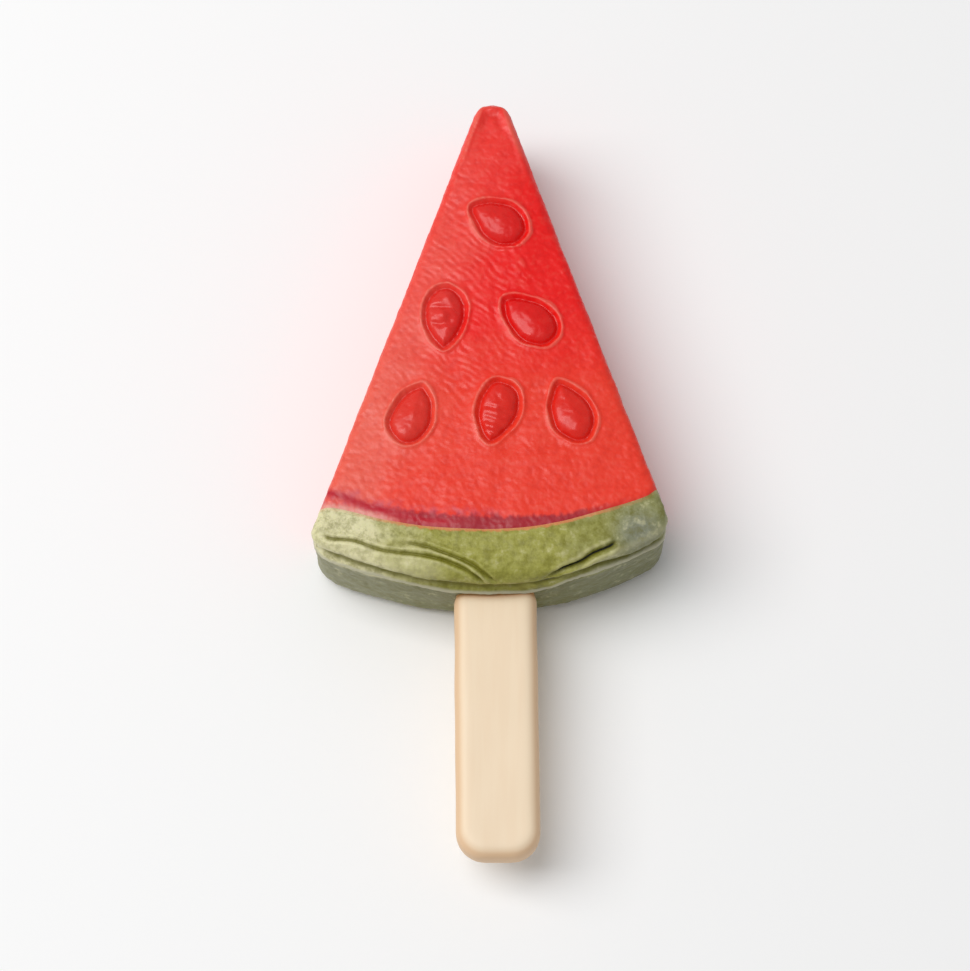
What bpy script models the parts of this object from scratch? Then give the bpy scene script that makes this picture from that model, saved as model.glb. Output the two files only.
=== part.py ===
"""An ice lolly moulded as a slice of watermelon, lying on its back, front face up.

Millimetres are turned into metres by MM. The tip points along +Y, the stick along -Y, and the
front face along +Z. The origin is the middle of the outline, on the plane that the back lies on.
"""

import math

import bmesh
import bpy
from mathutils import Vector

MM = 0.001

# Whole lolly
TOTAL_LENGTH = 151.0 * MM
THICKNESS = 24.0 * MM
GAP = 0.3 * MM  # air between two pieces that touch

# Outline of the slice
HALF_ANGLE = math.radians(19.4)
TIP_RADIUS = 4.0 * MM
CORNER_RADIUS = 5.0 * MM
BODY_LENGTH = 99.6 * MM
FOOT_RADII = {-1: 77.0 * MM, 1: 62.0 * MM}  # the foot's arc left and right of its lowest point
FOOT_X = -1.2 * MM  # where that lowest point is

# Edges of the slice
SIDE_ROUND = 1.4 * MM
FOOT_ROUND = 4.0 * MM
SEAM_WIDTH = 1.0 * MM  # the mould's parting seam, just in front of the stick
SEAM_PROUD = 0.3 * MM
SEAM_PROUD_FOOT = 0.6 * MM
SEAM_GROOVE_FOOT = 0.9 * MM  # the valley between the seam and the front roll
SEAM_GROOVE_WIDTH = 3.0 * MM

# The line where the flesh meets the rind
RIND_LINE_RADIUS = 94.5 * MM
RIND_LINE_X = -3.4 * MM
RIND_LINE_LOWEST = -14.3 * MM

# Stick
STICK_WIDTH = 15.8 * MM
STICK_THICKNESS = 7.5 * MM
STICK_ROUND = 2.6 * MM
STICK_CORNER = 5.4 * MM
STICK_HIDDEN = 30.0 * MM
STICK_X = 0.5 * MM  # where its middle leaves the slice
STICK_LEAN = math.radians(0.65)

# Seeds in relief
POCKET_LENGTH = 12.4 * MM
POCKET_WIDTH = 8.4 * MM
POCKET_DEPTH = 0.9 * MM
POCKET_WALL = 0.8 * MM  # how far the pocket narrows on its way down
LIP_WIDTH = 0.7 * MM
LIP_HEIGHT = 0.25 * MM
SEED_LENGTH = 9.6 * MM
SEED_WIDTH = 6.0 * MM
SEED_ROUNDNESS = 0.65  # 0 gives an ellipse, 1 a drop with a sharp end

# Each seed: x, y of its middle and the direction of its pointed end, counterclockwise from +X
SEEDS = (
    (1.1, 49.4, 145.0),
    (-9.4, 29.4, 268.0),
    (7.1, 28.6, 138.0),
    (-15.4, 9.2, 75.0),
    (0.8, 9.4, 259.0),
    (15.0, 9.6, 108.0),
)

# Creases in the rind: radii at the start, middle and end, then points x, y along it
CREASES = (
    (
        (0.4, 1.1, 0.5),
        ((-32.6, -15.3), (-28.8, -16.2), (-22.3, -17.9), (-16.1, -19.0), (-10.7, -20.2), (-3.9, -23.2)),
    ),
    (
        (0.3, 0.8, 0.6),
        ((-13.6, -17.4), (-10.7, -18.3), (-6.3, -20.2), (-2.6, -22.4), (0.4, -24.6)),
    ),
    (
        (0.3, 1.2, 0.4),
        ((23.0, -17.2), (20.4, -18.8), (16.9, -20.8), (12.8, -22.3), (8.2, -23.6)),
    ),
)
CREASE_LIFT = 0.3 * MM  # the middle of a crease lies this far above the surface

TIP_Y = TOTAL_LENGTH / 2 - SEAM_PROUD
APEX_Y = TIP_Y + TIP_RADIUS * (1 / math.sin(HALF_ANGLE) - 1)
FOOT_Y = TIP_Y - BODY_LENGTH
FOOT_CENTRES = {side: Vector((FOOT_X, FOOT_Y + radius)) for side, radius in FOOT_RADII.items()}
RIND_LINE_CENTRE = Vector((RIND_LINE_X, RIND_LINE_LOWEST + RIND_LINE_RADIUS))
STICK_END_Y = -TOTAL_LENGTH / 2
MID_Z = THICKNESS / 2
SEAM_Z = MID_Z + STICK_THICKNESS / 2 + 0.75 * MM


def clear_scene():
    for obj in list(bpy.data.objects):
        bpy.data.objects.remove(obj, do_unlink=True)


def material(name, colour, roughness):
    made = bpy.data.materials.new(name)
    made.use_nodes = True
    shader = made.node_tree.nodes["Principled BSDF"]
    shader.inputs["Base Color"].default_value = (*colour, 1.0)
    shader.inputs["Roughness"].default_value = roughness
    shader.inputs["Metallic"].default_value = 0.0
    return made


def object_from(bm, name):
    bmesh.ops.recalc_face_normals(bm, faces=bm.faces)
    mesh = bpy.data.meshes.new(name)
    bm.to_mesh(mesh)
    bm.free()
    made = bpy.data.objects.new(name, mesh)
    bpy.context.scene.collection.objects.link(made)
    return made


def stack(bm, level_points):
    """A solid that starts as the first level's face and is extruded from each level to the next."""
    key = bm.verts.layers.int.get("place") or bm.verts.layers.int.new("place")
    first = [bm.verts.new(point) for point in level_points[0]]
    for place, vertex in enumerate(first):
        vertex[key] = place
    face = bm.faces.new(first)
    for level, points in enumerate(level_points[1:]):
        made = bmesh.ops.extrude_face_region(bm, geom=[face])["geom"]
        for vertex in (item for item in made if isinstance(item, bmesh.types.BMVert)):
            vertex.co = points[vertex[key]]
        if level > 0:  # the face extruded from is now inside the solid
            bmesh.ops.delete(bm, geom=[face], context="FACES_ONLY")
        face = next(item for item in made if isinstance(item, bmesh.types.BMFace))


def cut(target, cutter, operation="DIFFERENCE"):
    cutter.hide_render = True
    cutter.display_type = "WIRE"
    modifier = target.modifiers.new(cutter.name, "BOOLEAN")
    modifier.operation = operation
    modifier.solver = "EXACT"
    modifier.object = cutter


def arc(centre, radius, start, end, steps):
    """Points of an arc with their outward normals, both ends included."""
    for step in range(steps + 1):
        angle = start + (end - start) * step / steps
        normal = Vector((math.cos(angle), math.sin(angle)))
        yield centre + radius * normal, normal


def corner_centre(side):
    """The middle of the rounding between a straight side (1 right, -1 left) and the foot's arc."""
    foot = FOOT_CENTRES[side]
    along = Vector((side * math.sin(HALF_ANGLE), -math.cos(HALF_ANGLE)))
    inward = Vector((-side * math.cos(HALF_ANGLE), -math.sin(HALF_ANGLE)))
    start = Vector((0, APEX_Y)) + CORNER_RADIUS * inward - foot
    half_b = start.dot(along)
    c = start.length_squared - (FOOT_RADII[side] - CORNER_RADIUS) ** 2
    return foot + start + (math.sqrt(half_b**2 - c) - half_b) * along


def slice_outline():
    """(point, outward normal) round the slice, counterclockwise from the right of its tip."""
    right = corner_centre(1)
    left = corner_centre(-1)
    right_angle = math.atan2(*(right - FOOT_CENTRES[1]).yx)
    left_angle = math.atan2(*(left - FOOT_CENTRES[-1]).yx)
    tip = Vector((0, APEX_Y - TIP_RADIUS / math.sin(HALF_ANGLE)))
    points = list(arc(tip, TIP_RADIUS, HALF_ANGLE, math.pi - HALF_ANGLE, 12))
    points += arc(left, CORNER_RADIUS, math.pi - HALF_ANGLE, 2 * math.pi + left_angle, 8)
    points += list(arc(FOOT_CENTRES[-1], FOOT_RADII[-1], left_angle, -math.pi / 2, 12))[1:]
    points += list(arc(FOOT_CENTRES[1], FOOT_RADII[1], -math.pi / 2, right_angle, 12))[1:-1]
    points += arc(right, CORNER_RADIUS, right_angle, HALF_ANGLE, 8)
    return points


def round_inset(z, radius):
    """How far a rounded rim stands in from the wall at height z."""
    depth = radius - min(z, THICKNESS - z)
    return radius - math.sqrt(radius**2 - depth**2) if depth > 0 else 0.0


def slice_levels():
    """(z, inset at the sides, inset at the foot), from the back to the front."""
    rim = [FOOT_ROUND * (1 - math.cos(math.radians(15 * step))) for step in range(1, 7)]
    rim = [0.0, 0.25 * SIDE_ROUND] + [z for z in rim if z > 0.3 * SIDE_ROUND]
    levels = [(z, round_inset(z, SIDE_ROUND), round_inset(z, FOOT_ROUND)) for z in rim]
    half = SEAM_WIDTH / 2
    middle = [
        (SEAM_Z - half - 0.1 * MM, 0.0, 0.0),
        (SEAM_Z - half, -SEAM_PROUD, -SEAM_PROUD_FOOT),
        (SEAM_Z + half, -SEAM_PROUD, -SEAM_PROUD_FOOT),
        (SEAM_Z + half + 0.1 * MM, 0.0, SEAM_GROOVE_FOOT),
        (SEAM_Z + half + SEAM_GROOVE_WIDTH / 2, 0.0, SEAM_GROOVE_FOOT / 2),
        (SEAM_Z + half + SEAM_GROOVE_WIDTH, 0.0, 0.0),
    ]
    front = [(THICKNESS - z, side, foot) for z, side, foot in reversed(levels)]
    return levels + middle + front


def slice_solid(name):
    outline = slice_outline()
    levels = []
    for z, side, foot in slice_levels():
        ring = []
        for point, normal in outline:
            share = min(1.0, max(0.0, -1.6 * normal.y))
            place = point - (side + (foot - side) * share) * normal
            ring.append((*place, z))
        levels.append(ring)
    bm = bmesh.new()
    stack(bm, levels)
    return object_from(bm, name)


def rind_line_cylinder(name, radius):
    bm = bmesh.new()
    bmesh.ops.create_cone(
        bm, cap_ends=True, segments=160, radius1=radius, radius2=radius, depth=3 * THICKNESS
    )
    bmesh.ops.translate(bm, verts=bm.verts, vec=(*RIND_LINE_CENTRE, MID_Z))
    return object_from(bm, name)


def stick_bar(name, grow):
    """The stick, or with grow the pocket that holds it. It is turned about where it leaves the slice."""
    half_width = STICK_WIDTH / 2 + grow
    half_thickness = STICK_THICKNESS / 2 + grow
    low = STICK_END_Y - grow
    high = FOOT_Y + STICK_HIDDEN + grow
    corner = STICK_CORNER + grow
    ring = []
    quarters = ((1, high, 0), (-1, high, 1), (-1, low, 2), (1, low, 3))
    for side, end, quarter in quarters:
        inner = end - corner if end == high else end + corner
        centre = Vector((side * (half_width - corner), inner))
        start = quarter * math.pi / 2
        ring += [point for point, _ in arc(centre, corner, start, start + math.pi / 2, 8)]
    bm = bmesh.new()
    stack(bm, [[(*point, z) for point in ring] for z in (-half_thickness, half_thickness)])
    rims = [edge for edge in bm.edges if abs(edge.verts[0].co.z - edge.verts[1].co.z) < 0.1 * MM]
    bmesh.ops.bevel(
        bm, geom=rims, offset=STICK_ROUND, segments=4, profile=0.5, affect="EDGES", material=-1
    )
    for vertex in bm.verts:
        vertex.co.x += STICK_X - math.tan(STICK_LEAN) * (vertex.co.y - FOOT_Y)
        vertex.co.z += MID_Z
    return object_from(bm, name)


def drop(length, width, steps):
    """A drop's outline round the origin, with its pointed end towards +X."""
    turns = [2 * math.pi * step / steps for step in range(steps)]
    across = [math.sin(turn) * abs(math.sin(turn / 2)) ** SEED_ROUNDNESS for turn in turns]
    widest = max(across)
    return [
        Vector((length / 2 * math.cos(turn), width / 2 * value / widest))
        for turn, value in zip(turns, across)
    ]


def seed_stack(bm, seed, levels, front):
    """One drop-shaped solid at a seed. Each level is (length, width, height over the face)."""
    x, y, turn = seed
    turned = math.radians(turn)
    rings = []
    for length, width, height in levels:
        z = THICKNESS + height if front else -height
        ring = []
        for point in drop(length, width, 20):
            place = Vector(
                (
                    point.x * math.cos(turned) - point.y * math.sin(turned) + x * MM,
                    point.x * math.sin(turned) + point.y * math.cos(turned) + y * MM,
                )
            )
            ring.append((*place, z))
        rings.append(ring)
    stack(bm, rings)


def seed_shapes(name, levels, faces):
    bm = bmesh.new()
    for seed in SEEDS:
        for front in faces:
            seed_stack(bm, seed, levels, front)
    return object_from(bm, name)


def seed_lips():
    sink = -0.3 * MM
    outer = 2 * LIP_WIDTH
    levels = (
        (POCKET_LENGTH + outer, POCKET_WIDTH + outer, sink),
        (POCKET_LENGTH + outer, POCKET_WIDTH + outer, 0.05 * MM),
        (POCKET_LENGTH + 0.4 * outer, POCKET_WIDTH + 0.4 * outer, LIP_HEIGHT),
    )
    return seed_shapes("seed_lips", levels, (True,))


def seed_pockets():
    floor = 2 * POCKET_WALL
    levels = (
        (POCKET_LENGTH - floor, POCKET_WIDTH - floor, -POCKET_DEPTH),
        (POCKET_LENGTH - 0.3 * floor, POCKET_WIDTH - 0.3 * floor, -0.5 * POCKET_DEPTH),
        (POCKET_LENGTH + 0.2 * MM, POCKET_WIDTH + 0.2 * MM, 2 * LIP_HEIGHT),
    )
    return seed_shapes("seed_pockets", levels, (True, False))


def seed_pillows(name, rise, front):
    """The seeds themselves: domes that start below the pocket's floor and rise past the face."""
    levels = [(SEED_LENGTH, SEED_WIDTH, -POCKET_DEPTH - 0.4 * MM)]
    height = POCKET_DEPTH + rise
    for step in range(5):
        angle = math.radians(18 * step)
        levels.append(
            (
                SEED_LENGTH * math.cos(angle),
                SEED_WIDTH * math.cos(angle),
                height * math.sin(angle) - POCKET_DEPTH,
            )
        )
    return seed_shapes(name, levels, (front,))


def front_height(x, y):
    """Height of the front face, or of its roll at the foot, above the back."""
    side = 1 if x > FOOT_X else -1
    inside = FOOT_RADII[side] - (Vector((x, y)) - FOOT_CENTRES[side]).length
    depth = max(0.0, FOOT_ROUND - inside)
    return THICKNESS - FOOT_ROUND + math.sqrt(max(0.0, FOOT_ROUND**2 - depth**2))


def radius_along(radii, share):
    """The radius this share of the way from a crease's start to its end."""
    start, middle, end = radii
    if share < 0.5:
        return start + (middle - start) * 2 * share
    return middle + (end - middle) * (2 * share - 1)


def crease_cutter(name, radii, points, front):
    """A tapered worm along the surface, which cuts a half-round crease."""
    path = bpy.data.curves.new(name, "CURVE")
    path.dimensions = "3D"
    path.bevel_depth = MM
    path.bevel_resolution = 2
    path.resolution_u = 4
    path.use_fill_caps = True
    spline = path.splines.new("BEZIER")
    spline.bezier_points.add(len(points) - 1)
    for place, (knot, (x, y)) in enumerate(zip(spline.bezier_points, points)):
        height = front_height(x * MM, y * MM) + CREASE_LIFT
        knot.co = (x * MM, y * MM, height if front else THICKNESS - height)
        knot.handle_left_type = "AUTO"
        knot.handle_right_type = "AUTO"
        knot.radius = radius_along(radii, place / (len(points) - 1))
    guide = bpy.data.objects.new(name + "_path", path)
    bpy.context.scene.collection.objects.link(guide)
    bpy.context.view_layer.update()
    graph = bpy.context.evaluated_depsgraph_get()
    worm = bpy.data.meshes.new_from_object(guide.evaluated_get(graph))
    bpy.data.objects.remove(guide, do_unlink=True)
    bm = bmesh.new()
    bm.from_mesh(worm)
    bmesh.ops.remove_doubles(bm, verts=bm.verts, dist=0.001 * MM)
    return object_from(bm, name)


def finish(target, made_of):
    target.data.materials.append(made_of)
    target.data.shade_smooth()
    target.data.set_sharp_from_angle(angle=math.radians(35))


def build_flesh():
    flesh = slice_solid("flesh")
    cut(flesh, rind_line_cylinder("flesh_side", RIND_LINE_RADIUS - GAP / 2), "INTERSECT")
    cut(flesh, stick_bar("flesh_stick_pocket", GAP))
    cut(flesh, seed_lips(), "UNION")
    cut(flesh, seed_pockets())
    cut(flesh, seed_pillows("seed_pillows_front", 0.3 * MM, True), "UNION")
    cut(flesh, seed_pillows("seed_pillows_back", -0.05 * MM, False), "UNION")
    finish(flesh, material("frozen_red", (0.78, 0.06, 0.04), 0.42))


def build_rind():
    rind = slice_solid("rind")
    cut(rind, rind_line_cylinder("rind_side", RIND_LINE_RADIUS + GAP / 2))
    cut(rind, stick_bar("rind_stick_pocket", GAP))
    for number, (radii, points) in enumerate(CREASES, start=1):
        cut(rind, crease_cutter(f"crease_{number}_front", radii, points, True))
        cut(rind, crease_cutter(f"crease_{number}_back", radii, points, False))
    finish(rind, material("frozen_green", (0.35, 0.36, 0.12), 0.5))


def build_stick():
    finish(stick_bar("stick", 0.0), material("pale_stick", (0.87, 0.72, 0.53), 0.55))


clear_scene()
build_flesh()
build_rind()
build_stick()
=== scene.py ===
"""An ice lolly moulded as a slice of watermelon: its looks, laid out as an add-on for the 3D view.

Lengths are metres, written as millimetres times MM. The slice is moulded as one solid, its relief
is worked into it, and it is then cut along the rind line into the flesh and the rind.
"""

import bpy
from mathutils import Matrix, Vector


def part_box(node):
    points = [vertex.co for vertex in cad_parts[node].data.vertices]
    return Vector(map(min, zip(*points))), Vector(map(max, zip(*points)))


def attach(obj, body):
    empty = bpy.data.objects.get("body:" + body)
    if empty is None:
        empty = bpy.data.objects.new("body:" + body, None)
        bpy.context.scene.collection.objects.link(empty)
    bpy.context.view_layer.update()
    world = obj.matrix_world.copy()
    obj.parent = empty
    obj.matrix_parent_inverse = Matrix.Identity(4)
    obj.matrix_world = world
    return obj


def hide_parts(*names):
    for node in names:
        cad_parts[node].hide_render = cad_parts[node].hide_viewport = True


bl_info = {
    "name": "Watermelon Slice Ice Lolly",
    "version": (1, 0, 0),
    "blender": (4, 5, 0),
    "location": "3D Viewport > Sidebar > Ice Lolly",
    "description": "Moulds an ice lolly shaped as a slice of watermelon, and lays out its stage",
    "category": "Object",
}

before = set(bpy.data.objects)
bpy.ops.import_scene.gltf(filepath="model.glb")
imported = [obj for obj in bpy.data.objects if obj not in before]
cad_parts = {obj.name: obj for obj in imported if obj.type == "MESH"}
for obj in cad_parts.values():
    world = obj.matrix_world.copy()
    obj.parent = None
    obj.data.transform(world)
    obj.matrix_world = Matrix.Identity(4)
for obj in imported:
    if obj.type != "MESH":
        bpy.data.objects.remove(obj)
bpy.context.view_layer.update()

import math
import random

import bmesh
import bpy
import numpy as np
from bpy.props import FloatProperty, FloatVectorProperty, PointerProperty
from mathutils import Vector

MM = 0.001
_, FLESH_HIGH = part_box("flesh")
RIND_LOW, RIND_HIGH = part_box("rind")
STICK_LOW, STICK_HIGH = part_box("stick")

# The ridge that the mould's parting line leaves round the slice, and its height along the foot
SEAM_PROUD = 0.3 * MM
SEAM_PROUD_FOOT = 0.6 * MM

# Outline of the slice. Its sides are straight, and its foot is an arc on each side of FOOT_X.
HALF_ANGLE = math.radians(19.4)
TIP_RADIUS = 4.0 * MM
CORNER_RADIUS = 5.0 * MM
FOOT_RADII = {-1: 77.0 * MM, 1: 62.0 * MM}
FOOT_X = -1.2 * MM
TIP_Y = FLESH_HIGH[1] - SEAM_PROUD
APEX_Y = TIP_Y + TIP_RADIUS * (1 / math.sin(HALF_ANGLE) - 1)
FOOT_Y = RIND_LOW[1] + SEAM_PROUD_FOOT
FOOT_CENTRES = {side: Vector((FOOT_X, FOOT_Y + radius)) for side, radius in FOOT_RADII.items()}

# Section of the slice
THICKNESS = RIND_HIGH[2]
SIDE_ROUND = 1.4 * MM
FOOT_ROUND = 4.0 * MM
ROLL_LENGTH = FOOT_ROUND * math.pi / 2
SEAM_Z = STICK_HIGH[2] + 0.75 * MM
SEAM_HALF_WIDTH = 0.5 * MM
SEAM_AT_FOOT = (  # points x, z that the parting line passes along the foot
    (-36.0, 17.2), (-32.0, 18.0), (-26.0, 19.0), (-20.0, 18.7), (-13.0, 17.4), (-6.0, 16.7),
    (2.0, 16.3), (8.5, 15.7), (11.0, 16.5), (14.0, 17.8), (20.0, 19.1), (26.0, 18.2), (34.0, 16.8),
)

# Where the flesh meets the rind, as points x, y from left to right
RIND_LINE = (
    (-44.0, -11.5), (-34.0, -10.2), (-30.6, -9.9), (-26.4, -10.8), (-19.8, -12.6), (-9.0, -14.1),
    (2.5, -14.3), (11.6, -13.1), (20.1, -10.7), (26.0, -8.8), (29.4, -7.4), (31.6, -5.6),
    (34.5, -4.6), (44.0, -4.0),
)

# Stick
STICK_LEAN = math.radians(0.65)
STICK_X = 0.5 * MM  # its middle where it leaves the slice
STICK_ROUND = 2.6 * MM
STICK_CORNER = 5.4 * MM

# Mesh fineness
SLICE_VOXEL = 0.6 * MM
STICK_VOXEL = 0.45 * MM

# Each seed: x, y, the direction of its pointed end in degrees, its pocket's length and width,
# how lumpy it is, and where notches cross it, as shares of its length towards the point
SEEDS = (
    (1.1, 49.4, 148.0, 12.0, 8.6, 0.5, ()),
    (-9.3, 29.0, 268.0, 13.0, 8.0, 1.8, (-0.14, 0.12)),
    (7.1, 28.6, 140.0, 12.6, 8.4, 0.5, ()),
    (-15.4, 9.0, 72.0, 12.4, 8.0, 0.4, ()),
    (0.9, 9.4, 256.0, 13.0, 7.8, 0.8, (-0.02, 0.13, 0.2, 0.34)),
    (15.0, 9.6, 112.0, 12.6, 8.0, 0.5, ()),
)
SEED_TAPER = 0.42  # 0 gives an ellipse, 1 a drop with a sharp end
SEED_INSET = 0.4  # millimetres from the pocket's outline in to the seed's edge
NOTCH_DEPTH = 0.34 * MM
WRINKLE_SPACING = 1.3 * MM
WRINKLE_SLANT = math.radians(42)

# Creases of the rind, drawn with the rolled foot laid out flat. Each has its half width, its
# depth, the height of the lips beside it, how far it takes to fade in and out, and points x, y.
CREASES = {
    "lower_left": (
        0.36, 0.55, 0.22, (2.5, 3.0),
        (
            (-32.8, -14.9), (-30.4, -16.1), (-26.1, -16.6), (-20.5, -18.6), (-14.0, -19.5),
            (-8.6, -20.8), (-3.7, -23.5), (-0.9, -27.0),
        ),
    ),
    "upper_left": (
        0.34, 0.50, 0.20, (5.0, 3.0),
        (
            (-19.0, -16.5), (-13.0, -17.7), (-8.3, -19.4), (-4.3, -21.2), (-1.3, -23.5),
            (1.4, -26.2),
        ),
    ),
    "right": (
        0.52, 1.15, 0.38, (2.0, 7.0),
        (
            (24.0, -16.4), (22.0, -17.9), (19.2, -19.2), (16.6, -21.1), (13.2, -22.7),
            (8.5, -25.9),
        ),
    ),
}
RIM_CREASES = {
    "rim_left": (
        1.25, 0.95, 0.0, (3.0, 5.0),
        (
            (-34.6, -18.8), (-31.0, -20.0), (-27.3, -21.2), (-21.4, -23.4), (-15.5, -25.2),
            (-9.7, -27.0), (-1.4, -28.0), (9.0, -27.6),
        ),
    ),
    "rim_right": (
        0.85, 0.80, 0.0, (4.0, 2.0),
        ((5.0, -28.0), (10.0, -26.6), (14.6, -24.6), (21.3, -22.2), (27.1, -20.9), (35.5, -18.5)),
    ),
}

# A streak of crimson in the flesh at the left, and the points x, y that it passes
STREAK = (
    (-33.0, -6.4), (-30.1, -7.1), (-25.7, -8.8), (-22.8, -9.9), (-17.3, -11.6), (-11.9, -12.8),
    (-5.0, -13.2),
)

# Settings that several shader nodes share
COLOURS = {"data_type": "RGBA"}
SMOOTH = {"interpolation_type": "SMOOTHSTEP"}
ADD = {"operation": "ADD"}
MULTIPLY = {"operation": "MULTIPLY"}
MULTIPLY_ADD = {"operation": "MULTIPLY_ADD"}


def linear(hex_colour):
    """A colour given as sRGB hex, as the linear values that shaders work with."""
    channels = [int(hex_colour[at : at + 2], 16) / 255 for at in (1, 3, 5)]
    return tuple(c / 12.92 if c <= 0.04045 else ((c + 0.055) / 1.055) ** 2.4 for c in channels)


def length_setting(name, description, millimetres):
    return FloatProperty(
        name=name, description=description, default=millimetres * MM,
        min=0.0, unit="LENGTH", subtype="DISTANCE",
    )


def colour_setting(name, description, hex_colour):
    return FloatVectorProperty(
        name=name, description=description, default=linear(hex_colour),
        size=3, min=0.0, max=1.0, subtype="COLOR",
    )


class LollySizes(bpy.types.PropertyGroup):
    crown: length_setting("Crown", "How far the front face falls from its middle to its sides", 0.9)
    pocket_depth: length_setting("Pocket depth", "Depth of the groove round each seed", 0.55)
    seed_rise: length_setting("Seed rise", "How far each seed stands over the face", 0.95)
    lip_height: length_setting("Lip height", "Height of the thin lip round each pocket", 0.32)
    wrinkle_height: length_setting("Wrinkle height", "Height of the fine slanting wrinkles", 0.075)
    pebble_height: length_setting("Pebble height", "Height of the fine bumps all over", 0.03)
    roll_swell: length_setting("Roll swell", "How far the rolled foot swells at the left", 0.6)


class LollyColours(bpy.types.PropertyGroup):
    red: colour_setting("Red", "Flesh at the upper right", "#EF1210")
    red_warm: colour_setting("Warm red", "Flesh at the bottom", "#EE3A26")
    red_seed: colour_setting("Seed red", "Flesh of the seeds", "#D60E0E")
    # Deep red for the dark grain, and for the painted shade in the hollows
    red_dark_grain_and_shade: colour_setting("Deep red", "Dark grain, and painted shade in the hollows", "#BC0C0E")
    # Pale red for the fine pale grain, the painted sheen along the left side and the painted highlight
    # on the pocket lips
    pale_red_grain_and_sheen: colour_setting("Pale red and sheen", "Pale grain, painted sheen at the left and painted highlight on the pocket lips", "#E97866")
    crimson: colour_setting("Crimson", "Streak in the flesh at the left", "#B80F26")
    wine: colour_setting("Wine", "Band of flesh beside the rind", "#A01C2C")
    mauve: colour_setting("Mauve", "Haze in the flesh over the band", "#C0485F")
    blush: colour_setting("Blush", "Pale fringe of the flesh at the left", "#E49A8C")
    peach: colour_setting("Peach", "Thin line where the rind starts", "#DC8456")
    green: colour_setting("Green", "Rind in its middle", "#A09E4A")
    green_pale_and_highlight: colour_setting("Pale green", "Rind at the left corner", "#DDD7AA")
    # Pale green for the pale left corner and the light mottle, and also for the painted highlight on the
    # rolls
    green_grey: colour_setting("Grey green", "Rind at the right", "#84865C")
    # Greyer green below the seam, darkened as painted shade
    green_grey_under_shade: colour_setting("Under green", "Greyer rind below the seam, darkened as painted shade", "#74765A")
    # Deep green for the dark mottle and grain, and for the painted shade in the creases
    green_dark_mottle_and_shade: colour_setting("Deep green", "Dark mottle and grain, and painted shade in the creases", "#6C680E")
    # Near black for the painted shade in the deepest crease
    green_painted_deep_shade: colour_setting("Dark green", "Painted shade in the deepest crease", "#23282B")
    slate: colour_setting("Slate", "Bluish cloud in the rind at the right", "#84898E")
    # Pale colour for the painted highlight along the parting line
    seam: colour_setting("Seam", "Painted highlight along the parting line", "#BDB9A2")
    stick: colour_setting("Stick", "Pale wood", "#F3DDBF")
    # Warmer wood for the grain, and for the painted shade on the rounded edges
    stick_grain_and_edge_shade: colour_setting("Stick edge", "Wood grain, and painted shade along the rounded edges", "#E4C099")
    # A painted contact shadow on the wood where the stick enters the rind
    stick_contact_shadow: colour_setting("Stick stain", "Painted contact shadow on the wood beside the rind", "#C98A4A")
    floor: colour_setting("Floor", "Pale table", "#FAFAFA")


def ramp(low, high, value):
    """0 below low, 1 above high, and smooth between."""
    share = np.clip((value - low) / (high - low), 0.0, 1.0)
    return share * share * (3 - 2 * share)


def bell(value, width):
    """1 at zero, falling smoothly to 0 a little over twice the width away."""
    return np.exp(-((value / width) ** 2))


def waves(points, size, seed, count=14):
    """Smooth uneven values, mostly within -1 to 1, whose swells are about this size apart."""
    chance = random.Random(seed)
    total = np.zeros(len(points))
    for _ in range(count):
        direction = np.array([chance.gauss(0, 1) for _ in range(points.shape[1])])
        direction /= np.linalg.norm(direction)
        length = size * chance.uniform(0.7, 1.6)
        total += np.sin(points @ direction * math.tau / length + chance.uniform(0, math.tau))
    return total / math.sqrt(count)


def smooth_path(knots, steps=8):
    """Points of a smooth curve through the knots, given in millimetres."""
    knots = np.array(knots) * MM
    knots = np.vstack([2 * knots[0] - knots[1], knots, 2 * knots[-1] - knots[-2]])
    share = np.arange(steps)[:, None] / steps
    pieces = []
    for before, start, end, after in zip(knots, knots[1:], knots[2:], knots[3:]):
        pieces.append(
            0.5 * (
                2 * start
                + (end - before) * share
                + (2 * before - 5 * start + 4 * end - after) * share**2
                + (3 * start - before - 3 * end + after) * share**3
            )
        )
    return np.vstack([*pieces, knots[-2]])


def beside(flat, path):
    """Each point's distance from the path, negative on its right, and how far along that is."""
    nearest = np.full(len(flat), np.inf)
    signed = np.zeros(len(flat))
    travelled = np.zeros(len(flat))
    passed = 0.0
    for start, end in zip(path, path[1:]):
        length = math.dist(start, end)
        along = (end - start) / length
        offset = flat - start
        part = np.clip(offset @ along, 0.0, length)
        gap = offset - part[:, None] * along
        distance = np.hypot(gap[:, 0], gap[:, 1])
        closer = distance < nearest
        nearest[closer] = distance[closer]
        left = along[0] * offset[:, 1] - along[1] * offset[:, 0]
        signed[closer] = np.where(left < 0, -distance, distance)[closer]
        travelled[closer] = passed + part[closer]
        passed += length
    return signed, travelled


def drawn(flat, path, half_width, fades):
    """1 along a drawn line and 0 away from it. The line fades in and out over the two lengths."""
    signed, travelled = beside(flat, path)
    total = np.hypot(*np.diff(path, axis=0).T).sum()
    fade = ramp(0.0, fades[0] * MM, travelled) * ramp(0.0, fades[1] * MM, total - travelled)
    return bell(signed, half_width) * fade, np.abs(signed), fade


def drop_outline(length, width, steps=72):
    """A closed drop round the origin, with its pointed end towards +X."""
    turns = np.linspace(0, math.tau, steps + 1)
    across = np.sin(turns) * np.abs(np.sin(turns / 2)) ** SEED_TAPER
    return np.stack([length / 2 * np.cos(turns), width / 2 * across / across.max()], axis=1)


def arc(centre, radius, start, end, steps):
    """Points of an arc with their outward normals, both ends included."""
    for step in range(steps + 1):
        angle = start + (end - start) * step / steps
        normal = Vector((math.cos(angle), math.sin(angle)))
        yield centre + radius * normal, normal


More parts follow.
